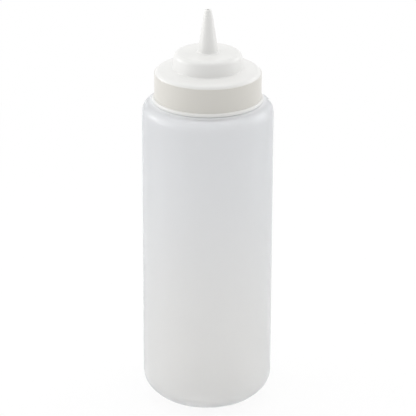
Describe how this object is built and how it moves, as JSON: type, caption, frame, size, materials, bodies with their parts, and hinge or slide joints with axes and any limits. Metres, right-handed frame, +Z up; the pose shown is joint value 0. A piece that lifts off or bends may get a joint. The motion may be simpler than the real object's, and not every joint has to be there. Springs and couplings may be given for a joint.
{
  "type": "squeeze bottle",
  "caption": "Wide-mouth squeeze bottle for sauces, with a screw cap whose stepped crown carries a fixed conical spout over a flat seal ring.",
  "frame": {"origin": "middle of the bottle's base, on the plane that it stands on", "axes": "+Z up along the bottle's axis towards the spout; the object is round, so +X and +Y are free"},
  "size_m": [0.085, 0.085, 0.269],
  "materials": {
    "bottle": "translucent natural low-density polyethylene, soft sheen",
    "cap": "white low-density polyethylene, soft sheen",
    "seal": "pale food-grade elastomer, matt"
  },
  "bodies": {
    "bottle": {"bottle": "bottle"},
    "seal_ring": {"seal_ring": "seal"},
    "nozzle_cap": {"nozzle_cap": "cap"}
  },
  "joints": [
    {"name": "cap_rise", "type": "slide", "parent": "bottle", "child": "seal_ring", "axis": [0, 0, 1], "range_m": [0, 0.024]},
    {"name": "cap_turn", "type": "hinge", "parent": "seal_ring", "child": "nozzle_cap", "pos_m": [0, 0, 0.2272], "axis": [0, 0, 1], "range_deg": [0, 1440]}
  ],
  "couplings": [
    {"joint": "cap_rise", "follows": "cap_turn", "m_per_rad": 0.0009549}
  ]
}
